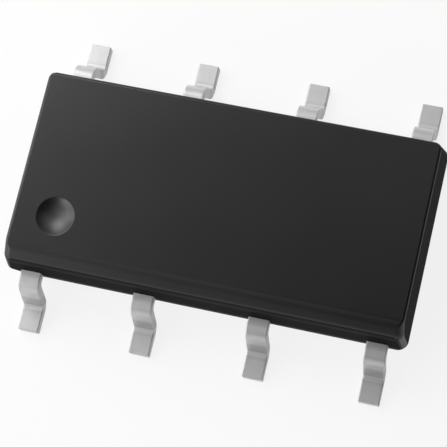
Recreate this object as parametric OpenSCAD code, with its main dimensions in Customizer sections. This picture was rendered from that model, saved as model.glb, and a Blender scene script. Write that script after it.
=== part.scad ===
// Small-outline chip with eight gull-wing leads, four along each long side.
// Millimetres. The chip sits on its feet at z = 0, centred on the origin, with
// its lead rows along X and lead 1 at the -X, -Y corner. Leads 1 to 4 run along
// the -Y side towards +X, and leads 5 to 8 come back along the +Y side.

/* [Package body] */
// Width of the body at its parting line
body_w = 4.40; // [4.00:0.05:4.80]
// Thickness of the body
body_t = 1.70; // [1.60:0.05:2.20]
// Body beyond the middle of the end leads
end_overhang = 0.62; // [0.50:0.01:1.00]
// Gap between the body and the board
standoff = 0.10; // [0.05:0.01:0.25]
// Slope of the four side walls, in degrees from upright
draft = 7; // [3:0.5:10]
// Radius of the upright corners
corner_r = 0.12; // [0.08:0.01:0.30]
// Radius along the top and bottom edges
edge_r = 0.05; // [0.02:0.01:0.07]
// Height of the straight band at the parting line
parting_band = 0.02; // [0.01:0.01:0.06]
// Width of the bevel along the top of the lead 1 side
bevel_w = 0.24; // [0.10:0.01:0.40]
// Depth of that bevel
bevel_h = 0.24; // [0.10:0.01:0.40]

/* [Lead 1 dimple] */
// Diameter of the dimple in the top face
dimple_d = 0.84; // [0.50:0.02:1.10]
// Depth of the dimple
dimple_depth = 0.16; // [0.05:0.01:0.20]
// Middle of the dimple from the end of the top face
dimple_from_end = 0.94; // [0.60:0.02:1.40]
// Middle of the dimple from the middle of the body
dimple_off_axis = 1.04; // [0.60:0.02:1.20]

/* [Leads] */
// Spacing of the leads along a row
pitch = 2.54; // [2.20:0.01:2.80]
// Width of a lead
lead_w = 0.46; // [0.35:0.01:0.55]
// Thickness of the lead frame sheet
lead_t = 0.22; // [0.15:0.01:0.25]
// Distance over the tips of the two rows of feet
span = 6.70; // [6.50:0.05:7.20]
// Straight part of a lead outside the body, before it turns down
shoulder_l = 0.12; // [0.05:0.01:0.20]
// Slope of a lead's leg, in degrees from level
leg_angle = 74; // [65:1:82]
// Inside radius of a lead's two bends
bend_r = 0.10; // [0.06:0.01:0.14]

/* [Lead frame inside the body] */
// Length of the die paddle
paddle_l = 3.40; // [2.60:0.05:4.20]
// Width of the die paddle
paddle_w = 1.80; // [1.60:0.05:2.10]
// How far the paddle is pressed down below the leads
paddle_down = 0.16; // [0.08:0.01:0.20]
// Width of the two tie bars that carry the paddle
tie_w = 0.30; // [0.20:0.01:0.50]
// Compound left over the cut end of a tie bar
tie_cover = 0.12; // [0.08:0.01:0.25]
// Length of the slope between a tie bar and the paddle
tie_slope = 0.20; // [0.10:0.01:0.30]
// Gap between the paddle, the fingers and each other
finger_gap = 0.25; // [0.15:0.01:0.30]
// Width of a middle lead's finger
finger_w = 0.74; // [0.60:0.01:0.90]
// Depth of a finger's bonding land
finger_l = 0.45; // [0.30:0.01:0.55]

/* [Die and wires] */
// Length of the die
die_l = 1.80; // [1.20:0.05:2.20]
// Width of the die
die_w = 1.20; // [1.00:0.05:1.35]
// Thickness of the die
die_t = 0.25; // [0.15:0.01:0.30]
// Thickness of the silver epoxy under the die
attach_t = 0.03; // [0.02:0.01:0.05]
// Epoxy that squeezes out past the die
attach_rim = 0.05; // [0.02:0.01:0.08]
// Diameter of a bond wire
wire_d = 0.05; // [0.03:0.01:0.06]
// Diameter of the bonds at a wire's two ends
bond_d = 0.10; // [0.08:0.01:0.12]
// Height of those bonds
bond_h = 0.02; // [0.01:0.01:0.03]
// Spacing of the bonds along the die
bond_pitch = 0.44; // [0.30:0.01:0.50]
// Middle of the bonds from the die's edge
bond_inset = 0.10; // [0.08:0.01:0.20]
// Upright part of a wire above the die
wire_rise = 0.12; // [0.06:0.01:0.16]
// Radius of the bend at the top of a wire
wire_bend = 0.10; // [0.06:0.01:0.12]

/* [Hidden] */

leads_a_side = 4;
corner_fn = 32; // facets round a corner, a rim or a wire
dimple_fn = 96; // facets round the dimple
bend_steps = 10; // flats round a bend of a lead

// The mould parts at mid thickness, where the leads come out
parting_z = standoff + body_t / 2;
top_z = standoff + body_t;
body_l = (leads_a_side - 1) * pitch + 2 * end_overhang;
// How far a side wall leans in between the parting line and the top face
lean = (body_t / 2) * tan(draft);

// A lead bends about the middle of the sheet
bend_mid = bend_r + lead_t / 2;
bend_run = bend_mid * sin(leg_angle);
bend_fall = bend_mid * (1 - cos(leg_angle));
leg_l = (parting_z - lead_t / 2 - 2 * bend_fall) / sin(leg_angle);
lead_out = body_w / 2 + shoulder_l;
foot_from = lead_out + 2 * bend_run + leg_l * cos(leg_angle);

// Level of the sheet's top face at the leads and at the pressed-down paddle
lead_top = parting_z + lead_t / 2;
paddle_top = lead_top - paddle_down;
die_top = paddle_top + attach_t + die_t;

// Where the fingers begin, and where the end leads' lands stop short of the middle ones
finger_from = paddle_w / 2 + finger_gap;
end_land_from = pitch / 2 + finger_w / 2 + finger_gap;

mould_black = [0.17, 0.17, 0.17];
tin = [0.76, 0.76, 0.75];
copper = [0.78, 0.52, 0.36];
silver_epoxy = [0.70, 0.70, 0.68];
silicon = [0.34, 0.36, 0.42];
gold = [0.90, 0.74, 0.35];

// Middle of lead k of a row, counted from its lead 1 end
function row_x(k) = (k - (leads_a_side + 1) / 2) * pitch;

// Row copies: leads 5 to 8 are leads 1 to 4 turned half round
function row_lead(n) = n > leads_a_side ? n - leads_a_side : n;
function row_turn(n) = n > leads_a_side ? 180 : 0;

// One ring or disc in each upright corner, set in from the parting outline,
// with an inset of its own along the lead 1 side
module at_corners(inset, lead_1_inset, sides = [-1, 1]) {
    for (sx = [-1, 1], sy = sides)
        translate([
            sx * (body_l / 2 - corner_r - inset),
            sy * (body_w / 2 - corner_r - (sy < 0 ? lead_1_inset : inset)),
            0
        ]) children();
}

module rim_ring() {
    rotate_extrude($fn = corner_fn) translate([corner_r - edge_r, 0]) circle(r = edge_r, $fn = corner_fn);
}

module parting_disc() {
    translate([0, 0, -parting_band / 2]) cylinder(r = corner_r, h = parting_band, $fn = corner_fn);
}

// Moulding without its pockets: two drafted halves that meet at the parting band
module moulding() {
    bevel_foot_z = top_z - bevel_h;
    wall_in_at_bevel = lean * (bevel_foot_z - parting_z) / (top_z - parting_z);
    hull() {
        translate([0, 0, parting_z]) at_corners(0, 0) parting_disc();
        translate([0, 0, top_z - edge_r]) at_corners(lean, lean + bevel_w) rim_ring();
        translate([0, 0, bevel_foot_z - edge_r])
            at_corners(wall_in_at_bevel, wall_in_at_bevel, [-1]) rim_ring();
    }
    hull() {
        translate([0, 0, parting_z]) at_corners(0, 0) parting_disc();
        translate([0, 0, standoff + edge_r]) at_corners(lean, lean) rim_ring();
    }
}

// Shallow round bowl that marks lead 1
module dimple() {
    ball_r = (pow(dimple_d / 2, 2) + pow(dimple_depth, 2)) / (2 * dimple_depth);
    translate([
        -(body_l / 2 - lean - dimple_from_end),
        -dimple_off_axis,
        top_z - dimple_depth + ball_r
    ]) sphere(r = ball_r, $fn = dimple_fn);
}

module package_body() {
    color(mould_black) difference() {
        moulding();
        dimple();
        for (n = [1 : 2 * leads_a_side]) {
            lead(n);
            bond_wire(n);
        }
        die_paddle();
        die_attach();
        die();
    }
}

// Points along an arc about c, from one angle to another
function arc(c, r, from, to) = [
    for (i = [0 : bend_steps]) let (a = from + (to - from) * i / bend_steps) c + r * [cos(a), sin(a)]
];

// Side view of a lead, X outwards and Y up: level in the body, down the leg, level along the foot
module gull_wing_outline() {
    shoulder_c = [lead_out, parting_z - bend_mid];
    foot_c = [foot_from, lead_t + bend_r];
    outside_r = bend_r + lead_t;
    polygon(concat(
        [[finger_from, lead_top]],
        arc(shoulder_c, outside_r, 90, 90 - leg_angle),
        arc(foot_c, bend_r, 270 - leg_angle, 270),
        [[span / 2, lead_t], [span / 2, 0]],
        arc(foot_c, outside_r, 270, 270 - leg_angle),
        arc(shoulder_c, bend_r, 90 - leg_angle, 90),
        [[finger_from, lead_top - lead_t]]
    ));
}

// Bonding land at a lead's inner end; an end lead's land runs in towards the middle
module land(k) {
    x = abs(row_x(k));
    is_end = k == 1 || k == leads_a_side;
    from = is_end ? end_land_from : x - finger_w / 2;
    to = is_end ? x + lead_w / 2 : x + finger_w / 2;
    mirror([row_x(k) < 0 ? 1 : 0, 0, 0])
        translate([from, -finger_from - finger_l, parting_z - lead_t / 2])
            cube([to - from, finger_l, lead_t]);
}

module lead(n) {
    k = row_lead(n);
    color(tin) rotate([0, 0, row_turn(n)]) {
        translate([row_x(k) + lead_w / 2, 0, 0]) rotate([90, 0, -90])
            linear_extrude(lead_w) gull_wing_outline();
        land(k);
    }
}

// Paddle with a tie bar out of each end, pressed down from the level of the leads
module die_paddle() {
    slope_to = paddle_l / 2 + tie_slope;
    tie_end = body_l / 2 - tie_cover;
    // Side view of one half of the strip that makes the tie bars, from the paddle's middle
    upper = [[paddle_l / 2, paddle_top], [slope_to, lead_top], [tie_end, lead_top]];
    lower = [for (p = upper) p - [0, lead_t]];
    half = concat(upper, [for (i = [2 : -1 : 0]) lower[i]]);
    color(copper) {
        translate([-paddle_l / 2, -paddle_w / 2, paddle_top - lead_t]) cube([paddle_l, paddle_w, lead_t]);
        translate([0, tie_w / 2, 0]) rotate([90, 0, 0]) linear_extrude(tie_w)
            polygon(concat(half, [for (i = [5 : -1 : 0]) [-half[i][0], half[i][1]]]));
    }
}

module die_attach() {
    color(silver_epoxy) translate([-die_l / 2 - attach_rim, -die_w / 2 - attach_rim, paddle_top])
        cube([die_l + 2 * attach_rim, die_w + 2 * attach_rim, attach_t]);
}

module die() {
    color(silicon) translate([-die_l / 2, -die_w / 2, paddle_top + attach_t]) cube([die_l, die_w, die_t]);
}

// Gold wire from a bond on the die to a bond on the lead's land: straight up,
// round one bend, and straight down along the tangent that meets the land
module bond_wire(n) {
    k = row_lead(n);
    is_end = k == 1 || k == leads_a_side;
    on_die = [(k - (leads_a_side + 1) / 2) * bond_pitch, -die_w / 2 + bond_inset];
    land_x = is_end ? sign(row_x(k)) * (end_land_from + finger_l / 2) : row_x(k);
    on_land = [land_x, -finger_from - finger_l / 2];
    reach = norm(on_land - on_die);
    heading = atan2(on_land[1] - on_die[1], on_land[0] - on_die[0]);

    bend_z = die_top + wire_rise;
    end_z = lead_top + wire_d / 2;
    to_end = [reach - wire_bend, end_z - bend_z];
    dip = asin(wire_bend / norm(to_end)) - atan2(to_end[1], to_end[0]);
    tangent_l = sqrt(pow(norm(to_end), 2) - pow(wire_bend, 2));

    color(gold) rotate([0, 0, row_turn(n)]) {
        translate([on_die[0], on_die[1], die_top]) {
            cylinder(d = bond_d, h = bond_h, $fn = corner_fn);
            cylinder(d = wire_d, h = wire_rise, $fn = corner_fn);
        }
        translate([on_die[0], on_die[1], bend_z]) rotate([0, 0, heading]) {
            translate([wire_bend, 0, 0]) rotate([90, 0, 0]) rotate([0, 0, 90 - dip])
                rotate_extrude(angle = 90 + dip, $fn = corner_fn)
                    translate([wire_bend, 0]) circle(d = wire_d, $fn = corner_fn);
            translate([wire_bend * (1 + sin(dip)), 0, wire_bend * cos(dip)])
                rotate([0, 90 + dip, 0]) cylinder(d = wire_d, h = tangent_l, $fn = corner_fn);
        }
        translate([on_land[0], on_land[1], lead_top]) cylinder(d = bond_d, h = bond_h, $fn = corner_fn);
    }
}

package_body();
lead(1);  // lead_1
lead(2);  // lead_2
lead(3);  // lead_3
lead(4);  // lead_4
lead(5);  // lead_5
lead(6);  // lead_6
lead(7);  // lead_7
lead(8);  // lead_8
die_paddle();
die_attach();
die();
bond_wire(1);  // bond_wire_1
bond_wire(2);  // bond_wire_2
bond_wire(3);  // bond_wire_3
bond_wire(4);  // bond_wire_4
bond_wire(5);  // bond_wire_5
bond_wire(6);  // bond_wire_6
bond_wire(7);  // bond_wire_7
bond_wire(8);  // bond_wire_8
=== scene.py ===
import math

import bmesh
import bpy
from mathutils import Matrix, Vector


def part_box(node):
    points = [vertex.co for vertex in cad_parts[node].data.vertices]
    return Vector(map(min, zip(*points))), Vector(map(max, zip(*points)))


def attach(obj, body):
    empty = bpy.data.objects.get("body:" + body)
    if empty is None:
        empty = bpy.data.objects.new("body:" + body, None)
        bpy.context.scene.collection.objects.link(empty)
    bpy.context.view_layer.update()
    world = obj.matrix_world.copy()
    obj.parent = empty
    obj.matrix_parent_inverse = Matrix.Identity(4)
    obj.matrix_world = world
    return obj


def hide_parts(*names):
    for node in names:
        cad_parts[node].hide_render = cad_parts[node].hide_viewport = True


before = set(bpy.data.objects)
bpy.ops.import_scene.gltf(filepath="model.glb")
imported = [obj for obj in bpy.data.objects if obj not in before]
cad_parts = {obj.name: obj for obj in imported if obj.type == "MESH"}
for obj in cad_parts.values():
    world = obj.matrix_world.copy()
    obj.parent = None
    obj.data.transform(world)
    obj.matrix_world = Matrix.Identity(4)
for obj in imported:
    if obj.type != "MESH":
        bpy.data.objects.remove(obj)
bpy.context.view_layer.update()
print("frame loaded:", len(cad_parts), "nodes")

mm = 0.001          # pieces are modelled in millimetres, then brought to metres
touching = 1e-4     # mm, what is closer than this is at the same place


def boxInMm(node):
    low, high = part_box(node)
    return low / mm, high / mm


def deselectAll():
    if bpy.context.mode != "OBJECT":
        bpy.ops.object.mode_set(mode="OBJECT")
    bpy.ops.object.select_all(action="DESELECT")


def makeActive(piece):
    deselectAll()
    piece.select_set(True)
    bpy.context.view_layer.objects.active = piece


def addBlock(name, low, high):
    deselectAll()
    low, high = Vector(low), Vector(high)
    bpy.ops.mesh.primitive_cube_add(size=1, location=(low + high) / 2, scale=high - low)
    bpy.ops.object.transform_apply(location=True, rotation=True, scale=True)
    piece = bpy.context.object
    piece.name = piece.data.name = name
    return piece


# In edit mode, selects only the vertices, edges or faces that pass a test
def pick(piece, kind, test):
    bpy.ops.mesh.select_mode(type=kind)
    bpy.ops.mesh.select_all(action="DESELECT")
    mesh = bmesh.from_edit_mesh(piece.data)
    for part in {"VERT": mesh.verts, "EDGE": mesh.edges, "FACE": mesh.faces}[kind]:
        if test(part):
            part.select_set(True)
    mesh.select_flush_mode()
    bmesh.update_edit_mesh(piece.data)


def cutAcross(point, normal, dropOuter=False):
    bpy.ops.mesh.select_all(action="SELECT")
    bpy.ops.mesh.bisect(plane_co=point, plane_no=normal, threshold=1e-5,
                        use_fill=dropOuter, clear_outer=dropOuter)


# Joins vertices that share a place and, if asked, turns all faces outwards
def weld(piece, distance=touching / 10, faceOut=False):
    makeActive(piece)
    bpy.ops.object.mode_set(mode="EDIT")
    bpy.ops.mesh.select_all(action="SELECT")
    bpy.ops.mesh.remove_doubles(threshold=distance)
    if faceOut:
        bpy.ops.mesh.normals_make_consistent(inside=False)
    bpy.ops.object.mode_set(mode="OBJECT")


bluntTurn = 20      # degrees; an edge that turns less than this isn't rounded


# Rounds each edge that turns sharply; radiusOf gives the radius for an edge, or 0
def roundEdges(piece, radiusOf, segments):
    makeActive(piece)
    bpy.ops.object.mode_set(mode="EDIT")
    mesh = bmesh.from_edit_mesh(piece.data)
    setBacks = {}
    for edge in mesh.edges:
        turn = edge.calc_face_angle(0)
        radius = radiusOf(edge) if turn > math.radians(bluntTurn) and edge.is_convex else 0
        setBacks[edge.index] = radius * math.tan(turn / 2)
    widest = max(setBacks.values())
    weight = mesh.edges.layers.float.new("bevel_weight_edge")
    for edge in mesh.edges:
        edge[weight] = setBacks[edge.index] / widest
    bmesh.update_edit_mesh(piece.data)
    bpy.ops.object.mode_set(mode="OBJECT")
    bevel = piece.modifiers.new("Bevel", "BEVEL")
    bevel.limit_method, bevel.width, bevel.segments = "WEIGHT", widest, segments
    bpy.ops.object.modifier_apply(modifier=bevel.name)


def subtract(piece, cutter):
    makeActive(piece)
    cut = piece.modifiers.new("Cut", "BOOLEAN")
    cut.operation, cut.solver, cut.object, cut.use_self = "DIFFERENCE", "EXACT", cutter, True
    bpy.ops.object.modifier_apply(modifier=cut.name)
    bpy.data.objects.remove(cutter)


def toMetres(piece, smoothAngle):
    weld(piece)
    bpy.ops.object.shade_smooth_by_angle(angle=math.radians(smoothAngle))
    even = piece.modifiers.new("EvenNormals", "WEIGHTED_NORMAL")
    even.keep_sharp = True
    bpy.ops.object.modifier_apply(modifier=even.name)
    piece.scale = (mm, mm, mm)
    bpy.ops.object.transform_apply(location=True, rotation=True, scale=True)


bodyShape = {
    "draft": 7.0,           # degrees that the walls lean in, up and down from the parting line
    "partingBand": 0.02,    # straight band where the two halves of the mould meet
    "cornerRadius": 0.18,
    "edgeRadius": 0.08,
    "bevelWidth": 0.24,     # bevel along the top of the lead 1 side
    "bevelDepth": 0.24,
    "bevelEdgeRadius": 0.30,
    "roundingSteps": 6,
    "dimpleAcross": 0.84,
    "dimpleDepth": 0.16,
    "dimpleFromEnd": 0.94,  # from the end of the top face
    "dimpleOffAxis": 1.04,
    "dimpleRim": 0.012,
    "dimpleRimSteps": 3,
    "ballSegments": 96,     # facets of the ball that cuts the dimple
    "ballRings": 50,
}


def mouldBody():
    shape = bodyShape
    low, high = boxInMm("package_body")
    middle = (low + high) / 2
    halfHeight = (high.z - low.z) / 2
    lean = halfHeight * math.tan(math.radians(shape["draft"]))
    body = addBlock("mouldedBody", low, high)
    bpy.ops.object.mode_set(mode="EDIT")
    for side in (-1, 1):
        cutAcross((0, 0, middle.z + side * shape["partingBand"] / 2), (0, 0, 1))

    # Each half of the mould is drafted, so that the body lets go of it
    size = high - low
    for level in (low.z, high.z):
        pick(body, "VERT", lambda vert: abs(vert.co.z - level) < touching)
        bpy.ops.transform.resize(value=(1 - 2 * lean / size.x, 1 - 2 * lean / size.y, 1),
                                 center_override=middle)

    # The bevel runs from the top face down to the wall
    topEdge = Vector((0, low.y + lean + shape["bevelWidth"], high.z))
    wallIn = lean * (1 - shape["bevelDepth"] / halfHeight)
    down = Vector((0, low.y + wallIn, high.z - shape["bevelDepth"])) - topEdge
    cutAcross(topEdge, (0, down.z, -down.y), dropOuter=True)
    bpy.ops.object.mode_set(mode="OBJECT")

    def radiusOf(edge):
        start, end = (vert.co for vert in edge.verts)
        along = (end - start).normalized()
        if abs(along.x) < 0.9 and abs(along.y) < 0.9:
            return shape["cornerRadius"]
        onBevel = any(face.normal.y < -0.5 and face.normal.z > 0.5 for face in edge.link_faces)
        return shape["bevelEdgeRadius"] if onBevel else shape["edgeRadius"]

    roundEdges(body, radiusOf, shape["roundingSteps"])

    # Dimple: a shallow cut by a large ball, with its rim eased
    halfAcross, depth = shape["dimpleAcross"] / 2, shape["dimpleDepth"]
    ballRadius = (halfAcross ** 2 + depth ** 2) / (2 * depth)
    dimple = Vector((low.x + lean + shape["dimpleFromEnd"], -shape["dimpleOffAxis"], high.z))
    deselectAll()
    bpy.ops.mesh.primitive_uv_sphere_add(segments=shape["ballSegments"],
                                         ring_count=shape["ballRings"], radius=ballRadius,
                                         location=dimple + Vector((0, 0, ballRadius - depth)))
    subtract(body, bpy.context.object)
    makeActive(body)
    bpy.ops.object.mode_set(mode="EDIT")

    def onRim(edge):
        return all(abs(vert.co.z - high.z) < touching and
                   abs((vert.co - dimple).length - halfAcross) < 0.005 for vert in edge.verts)

    pick(body, "EDGE", onRim)
    bpy.ops.mesh.bevel(offset=shape["dimpleRim"], segments=shape["dimpleRimSteps"],
                       affect="EDGES", clamp_overlap=True)
    bpy.ops.object.mode_set(mode="OBJECT")
    return body, dimple


body, dimplePlace = mouldBody()
print("body moulded:", len(body.data.polygons), "faces")


leadShape = {
    "width": 0.46,
    "thickness": 0.22,
    "shoulder": 0.12,       # straight part outside the body, before the first bend
    "legAngle": 74.0,       # degrees down from level
    "bendRadius": 0.10,     # inside radius of both bends
    "bendSteps": 12,
    "landDepth": 0.45,      # bonding land at the inner end
    "middleLandWidth": 0.74,    # land of the two middle leads of a row
    "endLandFrom": 1.89,    # from the chip's middle, where the land of an end lead starts
    "edgeRadius": 0.025,    # rolled edge that stamping leaves
    "edgeSteps": 4,
    "sharpTurn": 1.2,       # radians; edges that turn more than this are rolled
}


# One strip of the lead frame: straight out of the body, bent down, and bent level again
def formLead(name, node):
    shape = leadShape
    low, high = boxInMm(node)
    bodyLow, bodyHigh = boxInMm("package_body")
    isEnd = high.x > bodyHigh.x / 2
    x = high.x - (shape["width"] if isEnd else shape["middleLandWidth"]) / 2
    z = (bodyLow.z + bodyHigh.z) / 2
    half, sheet = shape["width"] / 2, shape["thickness"]
    leadOut = bodyLow.y - shape["shoulder"]
    lead = addBlock(name, (x - half, leadOut, z - sheet / 2), (x + half, high.y, z + sheet / 2))

    # The inner end widens into the land
    bpy.ops.object.mode_set(mode="EDIT")
    landEdge = high.y - shape["landDepth"]
    cutAcross((0, landEdge, 0), (0, 1, 0))
    reach = {-1: (x - half - shape["endLandFrom"]) if isEnd else (shape["middleLandWidth"] / 2 - half),
             1: 0 if isEnd else shape["middleLandWidth"] / 2 - half}
    for side in (-1, 1):
        if reach[side] > 0:
            pick(lead, "FACE", lambda face: face.normal.x * side > 0.9
                 and face.calc_center_median().y > landEdge)
            bpy.ops.mesh.extrude_region_move(
                TRANSFORM_OT_translate={"value": (side * reach[side], 0, 0)})

    # Bent about the middle of the sheet, down and then back
    angle = math.radians(shape["legAngle"])
    bendMiddle = shape["bendRadius"] + sheet / 2
    run, fall = bendMiddle * math.sin(angle), bendMiddle * (1 - math.cos(angle))
    legLength = (z - sheet / 2 - 2 * fall) / math.sin(angle)
    footStart = leadOut - 2 * run - legLength * math.cos(angle)
    alongLeg = Vector((0, -math.cos(angle), -math.sin(angle)))

    def pickEnd(end):
        pick(lead, "FACE", lambda face: (face.calc_center_median() - Vector(end)).length < 1e-3)

    # Turns or draws out the face at the strip's end; a spin leaves its faces turned inside out
    def bendEnd(end, turn, centre):
        pickEnd(end)
        bpy.ops.mesh.spin(steps=shape["bendSteps"], angle=turn, axis=(1, 0, 0), center=centre)
        bpy.ops.mesh.select_all(action="SELECT")
        bpy.ops.mesh.normals_make_consistent(inside=False)

    def drawEnd(end, by):
        pickEnd(end)
        bpy.ops.mesh.extrude_region_move(TRANSFORM_OT_translate={"value": by})

    legTop = Vector((x, leadOut - run, z - fall))
    legFoot = legTop + alongLeg * legLength
    footMiddle = Vector((x, footStart, sheet / 2))
    bendEnd((x, leadOut, z), -angle, (x, leadOut, z - bendMiddle))
    drawEnd(legTop, alongLeg * legLength)
    bendEnd(legFoot, angle, (x, footStart, sheet + shape["bendRadius"]))
    drawEnd(footMiddle, (0, low.y - footStart, 0))
    bpy.ops.object.mode_set(mode="OBJECT")
    return lead


# Copy of a lead, mirrored across the body or turned half round it, or moved along the row
def copyLead(lead, name, mirrored=False, turned=False, moved=0):
    makeActive(lead)
    bpy.ops.object.duplicate(linked=False)
    copy = bpy.context.object
    copy.name = copy.data.name = name
    copy.location.x = moved
    copy.scale.x = -1 if mirrored else 1
    copy.rotation_euler.z = math.pi if turned else 0
    bpy.ops.object.transform_apply(location=True, rotation=True, scale=True)
    return copy


leads = {3: formLead("formedLead3", "lead_3"), 4: formLead("formedLead4", "lead_4")}
leadPitch = boxInMm("lead_3")[0].x - boxInMm("lead_2")[0].x
leads[2] = copyLead(leads[3], "formedLead2", moved=-leadPitch)
leads[1] = copyLead(leads[4], "formedLead1", mirrored=True)
for number in (1, 2, 3, 4):
    leads[number + 4] = copyLead(leads[number], "formedLead" + str(number + 4), turned=True)
for lead in leads.values():
    weld(lead, faceOut=True)
    roundEdges(lead, lambda edge: leadShape["edgeRadius"]
               if edge.calc_face_angle(0) > leadShape["sharpTurn"] else 0, leadShape["edgeSteps"])
print("leads formed:", len(leads), "of", len(leads[3].data.polygons), "faces")


# The compound is cast round what is inside it, so the body is hollow there to the same shapes
def castRound(body, inside, solids):
    deselectAll()
    for piece in inside:
        piece.select_set(True)
    bpy.context.view_layer.objects.active = inside[0]
    bpy.ops.object.duplicate(linked=False)
    copies = list(bpy.context.selected_objects)
    for solid in solids:
        copy = bpy.data.objects.new("core", solid.data.copy())
        bpy.context.scene.collection.objects.link(copy)
        copy.scale = (1 / mm, 1 / mm, 1 / mm)
        copies.append(copy)
    makeActive(copies[0])
    for copy in copies:
        copy.select_set(True)
    bpy.ops.object.transform_apply(location=True, rotation=True, scale=True)
    bpy.ops.object.join()
    core = bpy.context.object
    weld(core, touching)
    subtract(body, core)


hidden = [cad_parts[name] for name in ["die_paddle", "die_attach", "die"]
          + ["bond_wire_" + str(number) for number in leads]]
castRound(body, list(leads.values()), hidden)
toMetres(body, smoothAngle=30)
for lead in leads.values():
    toMetres(lead, smoothAngle=35)
print("body cast round the leads:", len(body.data.polygons), "faces")


# sRGB hex to linear
def linear(hexColour):
    channels = [int(hexColour[i:i + 2], 16) / 255 for i in (1, 3, 5)]
    return [c / 12.92 if c <= 0.04045 else ((c + 0.055) / 1.055) ** 2.4 for c in channels] + [1]


# Adds a node; an input is given a value, or linked when it is given a socket
def addNode(tree, kind, inputs=None, **settings):
    node = tree.nodes.new(kind)
    for name, value in settings.items():
        setattr(node, name, value)
    for name, value in (inputs or {}).items():
        if isinstance(value, bpy.types.NodeSocket):
            tree.links.new(value, node.inputs[name])
        else:
            node.inputs[name].default_value = value
    return node


def newMaterial(name, **shader):
    material = bpy.data.materials.new(name)
    material.use_nodes = True
    surface = material.node_tree.nodes["Principled BSDF"]
    for socket, value in shader.items():
        surface.inputs[socket.replace("_", " ")].default_value = value
    return material, material.node_tree, surface


def perMm(size):
    return 1 / (size * mm)  # pattern scale for features of that size


# Colour and roughness follow one pattern, and relief follows another
def finishSurface(tree, surface, look, pattern, relief):
    colour = addNode(tree, "ShaderNodeMix", {"Factor": pattern}, data_type="RGBA")
    colour.inputs["A"].default_value = linear(look["colours"][0])
    colour.inputs["B"].default_value = linear(look["colours"][1])
    rough = addNode(tree, "ShaderNodeMapRange", {"Value": pattern, "To Min": look["roughness"][0],
                                                 "To Max": look["roughness"][1]})
    bump = addNode(tree, "ShaderNodeBump", {"Height": relief, "Distance": look["relief"] * mm})
    tree.links.new(colour.outputs["Result"], surface.inputs["Base Color"])
    tree.links.new(rough.outputs["Result"], surface.inputs["Roughness"])
    tree.links.new(bump.outputs["Normal"], surface.inputs["Normal"])


def noise(tree, place, size, detail):
    return addNode(tree, "ShaderNodeTexNoise", {"Vector": place, "Scale": perMm(size),
                                                "Detail": detail}).outputs["Fac"]


def grains(tree, place, size):
    return addNode(tree, "ShaderNodeTexVoronoi", {"Vector": place,
                                                  "Scale": perMm(size)}).outputs["Distance"]


# The object's own coordinates, drawn out by a factor along each axis
def placeOn(tree, stretch=(1, 1, 1)):
    place = addNode(tree, "ShaderNodeTexCoord").outputs["Object"]
    return addNode(tree, "ShaderNodeMapping", {"Vector": place,
                                               "Scale": [1 / s for s in stretch]}).outputs["Vector"]


mouldLook = {
    "colours": ("#0f0f0f", "#131313"),
    "flowSize": 1.6,        # mm, faint cloudiness where the compound flowed
    "grainSize": 0.05,      # mm, spark-eroded grain of the mould
    "relief": 0.0006,       # mm
    "ior": 1.5,
    "face": {"roughness": (0.28, 0.34), "specular": 0.5},
    "drawnWall": {"roughness": (0.56, 0.64), "specular": 0.015, "colours": ("#1b1b1b", "#202020")},
    "bevel": {"roughness": (0.42, 0.48), "specular": 0.55},
    "softEdge": {"roughness": (0.50, 0.58), "specular": 0.12},
    # The dimple's darker colours are painted shade in the recess
    "dimple": {"roughness": (0.42, 0.48), "specular": 1.0, "colours": ("#060606", "#0a0a0a")},
}


# Black epoxy moulding compound, filled with silica and moulded in a spark-eroded cavity:
# a dark, even satin with a very fine grain. The walls drag as the body leaves the mould, which
# leaves them paler and duller than the faces. The bevel is rougher than the top face, its
# rounding into the wall is dull, and the dimple is rough, its colour darkened as painted shade in the
# recess.
def mouldCompound(name, part):
    look = dict(mouldLook, **mouldLook[part])
    material, tree, surface = newMaterial(name, IOR=look["ior"],
                                          Specular_IOR_Level=look["specular"])
    place = placeOn(tree)
    flow = noise(tree, place, look["flowSize"], 3.0)
    finishSurface(tree, surface, look, flow, noise(tree, place, look["grainSize"], 2.0))
    return material


tinLook = {
    "colours": ("#d4d4d4", "#e0e0e0"),
    "mottleSize": 0.22,     # mm, uneven deposit
    "crystalSize": 0.03,    # mm, drawn coarser than the few microns of the real deposit
    "relief": 0.0012,
    "roughness": (0.38, 0.46),
    "metallic": 0.35,
    # Painted bands of shade and highlight: mm along the strip (out from the axis, less the height),
    # shade
    "marks": ((1.10, 0.93), (1.44, 0.93), (1.52, 0.84), (1.60, 0.91), (2.02, 0.90), (2.10, 0.74),
              (2.28, 0.70), (2.36, 0.74), (2.46, 0.68), (2.52, 1.00), (2.63, 1.00), (2.68, 0.80),
              (2.74, 0.88), (3.20, 0.88)),
}
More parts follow.
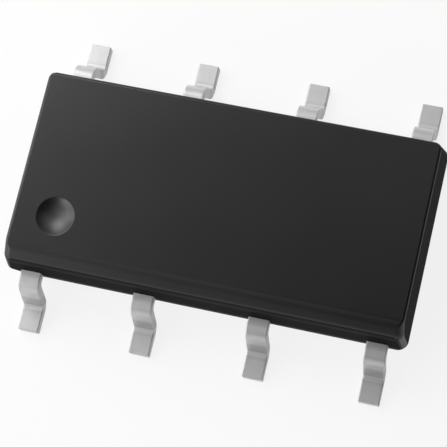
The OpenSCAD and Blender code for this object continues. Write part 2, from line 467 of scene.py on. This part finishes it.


# Matte tin, electroplated on copper alloy sheet: a pale, soft metal with a fine crystal grain.
# The colour carries painted bands: painted shade on the leg, a painted highlight where it turns
# into the foot, and shoulders a little lighter against the shade of the body.
def matteTin():
    look = tinLook
    material, tree, surface = newMaterial("MatteTinPlated", Metallic=look["metallic"])
    place = placeOn(tree)
    mottle = noise(tree, place, look["mottleSize"], 4.0)
    finishSurface(tree, surface, look, mottle, grains(tree, place, look["crystalSize"]))
    axes = addNode(tree, "ShaderNodeSeparateXYZ", {"Vector": place})
    outward = addNode(tree, "ShaderNodeMath", {0: axes.outputs["Y"]}, operation="ABSOLUTE")
    along = addNode(tree, "ShaderNodeMath", {0: outward.outputs["Value"], 1: axes.outputs["Z"]},
                    operation="SUBTRACT")
    start, end = look["marks"][0][0], look["marks"][-1][0]
    share = addNode(tree, "ShaderNodeMapRange", {"Value": along.outputs["Value"],
                                                 "From Min": start * mm, "From Max": end * mm})
    marks = addNode(tree, "ShaderNodeValToRGB", {"Fac": share.outputs["Result"]})
    stops = marks.color_ramp.elements
    while len(stops) < len(look["marks"]):
        stops.new(1.0)
    for stop, (where, shade) in zip(stops, look["marks"]):
        stop.position, stop.color = (where - start) / (end - start), (shade, shade, shade, 1)
    plain = surface.inputs["Base Color"].links[0].from_socket
    # Painted shade and painted highlight: the bands are multiplied into the tin's colour along the
    # strip
    paintedBandColour = addNode(tree, "ShaderNodeMix", {"Factor": 1.0}, data_type="RGBA", blend_type="MULTIPLY")
    tree.links.new(plain, paintedBandColour.inputs["A"])
    tree.links.new(marks.outputs["Color"], paintedBandColour.inputs["B"])
    tree.links.new(paintedBandColour.outputs["Result"], surface.inputs["Base Color"])
    return material


copperLook = {
    "colours": ("#b26b4a", "#c98763"),
    "streakSize": 0.05,     # mm across, lines that the rolls leave along the strip
    "relief": 0.0010,
    "roughness": (0.30, 0.42),
    "metallic": 1.0,
    "stretch": (25, 1, 1),  # lines run along X
}


# Copper alloy strip, cold rolled and stamped: warm bright metal with fine lines along the strip
def rolledCopper():
    material, tree, surface = newMaterial("CopperAlloyRolled", Metallic=copperLook["metallic"])
    streaks = noise(tree, placeOn(tree, copperLook["stretch"]), copperLook["streakSize"], 3.0)
    finishSurface(tree, surface, copperLook, streaks, streaks)
    return material


pasteLook = {
    "colours": ("#8f8d88", "#b4b2ac"),
    "flakeSize": 0.015,     # mm
    "relief": 0.0020,
    "roughness": (0.42, 0.62),
    "metallic": 0.55,
    "ior": 1.55,
    "stretch": (1, 1, 0.5),
}


# Silver flake in cured epoxy, dispensed as a paste: dull grey, with flakes that catch the light
def silverPaste():
    material, tree, surface = newMaterial("SilverEpoxyCured", Metallic=pasteLook["metallic"],
                                          IOR=pasteLook["ior"])
    flakes = grains(tree, placeOn(tree, pasteLook["stretch"]), pasteLook["flakeSize"])
    finishSurface(tree, surface, pasteLook, flakes, flakes)
    return material


siliconLook = {
    "colours": ("#3c4250", "#5a5566"),
    "filmSize": 0.35,       # mm, slow change in the thickness of the nitride film
    "circuitSize": 0.02,    # mm
    "relief": 0.0004,
    "roughness": (0.12, 0.20),
    "metallic": 0.8,
    "ior": 2.0,
}


# Silicon, polished, patterned and sealed with a nitride film: a dark mirror tinted by the film
def sealedSilicon():
    material, tree, surface = newMaterial("SiliconNitrideSealed",
                                          Metallic=siliconLook["metallic"],
                                          IOR=siliconLook["ior"])
    place = placeOn(tree)
    finishSurface(tree, surface, siliconLook, noise(tree, place, siliconLook["filmSize"], 1.0),
                  grains(tree, place, siliconLook["circuitSize"]))
    return material


goldLook = {
    "colours": ("#d6a23c", "#e6b854"),
    "lineSize": 0.006,      # mm, faint lines left by the drawing die
    "relief": 0.0002,
    "roughness": (0.16, 0.24),
    "metallic": 1.0,
    "stretch": (12, 12, 1),
}


# Gold wire, drawn through diamond dies: smooth, bright yellow metal
def drawnGold():
    material, tree, surface = newMaterial("GoldWireDrawn", Metallic=goldLook["metallic"])
    lines = noise(tree, placeOn(tree, goldLook["stretch"]), goldLook["lineSize"], 2.0)
    finishSurface(tree, surface, goldLook, lines, lines)
    return material


def dress(piece, *materials):
    piece.data.materials.clear()
    for material in materials:
        piece.data.materials.append(material)


# Which way a face of the body looks decides its finish: these are parts of its unit normal
finishLimits = {
    "bevelUp": 0.14,        # the bevel and its soft edge look up more than this
    "bevelOut": 0.20,       # the bevel looks out over the lead 1 side more than this
    "softEdgeOut": 0.84,    # and its soft edge more than this
    "wallUp": 0.30,         # a wall looks up or down less than this
}


# Each part of the mould leaves its own finish on the body
def dressBody():
    limits = finishLimits
    finishes = ("face", "drawnWall", "dimple", "bevel", "softEdge")
    dress(body, *[mouldCompound("BlackEpoxyMoulded_" + part, part) for part in finishes])
    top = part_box("package_body")[1].z
    halfAcross = bodyShape["dimpleAcross"] / 2 * mm
    for face in body.data.polygons:
        highest = max(body.data.vertices[v].co.z for v in face.vertices)
        fromDimple = (face.center.xy - dimplePlace.xy * mm).length
        up, out = face.normal.z, -face.normal.y
        part = "face"
        if fromDimple < halfAcross and highest < top - touching * mm:
            part = "dimple"
        elif up > limits["bevelUp"] and out > limits["softEdgeOut"]:
            part = "softEdge"
        elif up > limits["bevelUp"] and out > limits["bevelOut"]:
            part = "bevel"
        elif abs(up) < limits["wallUp"]:
            part = "drawnWall"
        face.material_index = finishes.index(part)


dressBody()
tin = matteTin()
for lead in leads.values():
    dress(lead, tin)

# What the body hides: its solids stay as they are, with their own finishes
innerFinish = {"die_paddle": rolledCopper(), "die_attach": silverPaste(), "die": sealedSilicon()}
gold = drawnGold()
for number in leads:
    innerFinish["bond_wire_" + str(number)] = gold
for node, material in innerFinish.items():
    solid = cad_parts[node]
    for slot in solid.material_slots:
        slot.material = material
print("materials made:", len(bpy.data.materials))

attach(body, "root")
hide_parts("package_body")
for number, lead in leads.items():
    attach(lead, "root")
    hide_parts("lead_" + str(number))


# Floor, light and camera
stageLook = {
    "floorSize": 1.0,       # metres
    "floorColour": "#f8f8f8",
    "floorRoughness": 0.9,
    "floorWhite": 0.85,     # share of plain white; the rest is lit and holds the shadow
    "horizon": 0.2,         # height up to which the studio's walls are white
}
deselectAll()
bpy.ops.mesh.primitive_plane_add(size=stageLook["floorSize"])
floor = bpy.context.object
floor.name = "floor"
floorPaint, floorTree, floorSurface = newMaterial("PaleFloorPaint",
                                                 Roughness=stageLook["floorRoughness"])
floorSurface.inputs["Base Color"].default_value = linear(stageLook["floorColour"])
floorSurface.inputs["Specular IOR Level"].default_value = 0.0
dress(floor, floorPaint)


# The strength where the camera sees a surface, straight or by reflection, and otherwise 0
def seenFactor(tree, strength):
    path = addNode(tree, "ShaderNodeLightPath")
    seen = path.outputs["Is Camera Ray"]
    for kind in ("Is Glossy Ray", "Is Transmission Ray"):
        seen = addNode(tree, "ShaderNodeMath", {0: seen, 1: path.outputs[kind]},
                       operation="MAXIMUM").outputs["Value"]
    return addNode(tree, "ShaderNodeMath", {0: seen, 1: strength},
                   operation="MULTIPLY").outputs["Value"]


glow = addNode(floorTree, "ShaderNodeEmission", {"Color": (1, 1, 1, 1), "Strength": 1.0})
floorMix = addNode(floorTree, "ShaderNodeMixShader",
                   {"Fac": seenFactor(floorTree, stageLook["floorWhite"]),
                    1: floorSurface.outputs["BSDF"], 2: glow.outputs["Emission"]})
floorTree.links.new(floorMix.outputs["Shader"],
                    floorTree.nodes["Material Output"].inputs["Surface"])

world = bpy.data.worlds.new("studio")
bpy.context.scene.world = world
world.use_nodes = True
worldTree = world.node_tree
background = worldTree.nodes["Background"]
direction = addNode(worldTree, "ShaderNodeTexCoord").outputs["Generated"]
height = addNode(worldTree, "ShaderNodeSeparateXYZ", {"Vector": direction}).outputs["Z"]
sky = addNode(worldTree, "ShaderNodeValToRGB", {"Fac": height})
sky.color_ramp.elements[0].position, sky.color_ramp.elements[0].color = 0.0, (1, 1, 1, 1)
sky.color_ramp.elements[1].position = stageLook["horizon"]
sky.color_ramp.elements[1].color = (0, 0, 0, 1)
worldTree.links.new(sky.outputs["Color"], background.inputs["Color"])
backdrop = addNode(worldTree, "ShaderNodeBackground", {"Color": (1, 1, 1, 1), "Strength": 1.0})
cameraRay = addNode(worldTree, "ShaderNodeLightPath").outputs["Is Camera Ray"]
worldMix = addNode(worldTree, "ShaderNodeMixShader",
                   {"Fac": cameraRay, 1: background.outputs["Background"],
                    2: backdrop.outputs["Background"]})
worldTree.links.new(worldMix.outputs["Shader"],
                    worldTree.nodes["World Output"].inputs["Surface"])


# Soft boxes on a dome round the chip: degrees from +X, degrees above the horizon, and watts
studioLight = {
    "distance": 45,     # mm
    "size": 26,         # mm
    "aimHeight": 1,     # mm above the floor
    "boxes": {
        "farLeft": (135, 42, 0.00905),
        "farLeftLow": (135, 18, 0.00316),
        "farLeftHigh": (135, 64, 0.00085),
        "left": (180, 42, 0.00373),
        "leftLow": (180, 18, 0.00570),
        "nearLeftLow": (225, 18, 0.00730),
        "nearLeftHigh": (225, 64, 0.00166),
        "far": (90, 42, 0.00120),
        "farRightHigh": (45, 64, 0.00132),
    },
}
for name, (azimuth, elevation, power) in studioLight["boxes"].items():
    lamp = bpy.data.lights.new(name, "AREA")
    lamp.shape, lamp.size, lamp.energy = "SQUARE", studioLight["size"] * mm, power
    holder = bpy.data.objects.new(name, lamp)
    bpy.context.scene.collection.objects.link(holder)
    around, up = math.radians(azimuth), math.radians(elevation)
    outward = Vector((math.cos(around) * math.cos(up), math.sin(around) * math.cos(up), math.sin(up)))
    aim = Vector((0, 0, studioLight["aimHeight"]))
    holder.location = (outward * studioLight["distance"] + aim) * mm
    holder.rotation_euler = (-outward).to_track_quat("-Z", "Y").to_euler()

cameraView = {
    "place": (7.193, -8.119, 37.343),   # mm
    "turn": (14.132, 8.075, 13.349),    # degrees
    "lens": 142.39,                     # mm
    "sensor": 36.0,                     # mm
    "clip": (0.001, 2.0),               # metres
}
cameraData = bpy.data.cameras.new("camera")
camera = bpy.data.objects.new("camera", cameraData)
bpy.context.scene.collection.objects.link(camera)
camera.location = Vector(cameraView["place"]) * mm
camera.rotation_euler = [math.radians(angle) for angle in cameraView["turn"]]
cameraData.sensor_width, cameraData.lens = cameraView["sensor"], cameraView["lens"]
cameraData.clip_start, cameraData.clip_end = cameraView["clip"]
bpy.context.scene.camera = camera
bpy.context.scene.view_settings.view_transform = "Standard"
print("stage set")
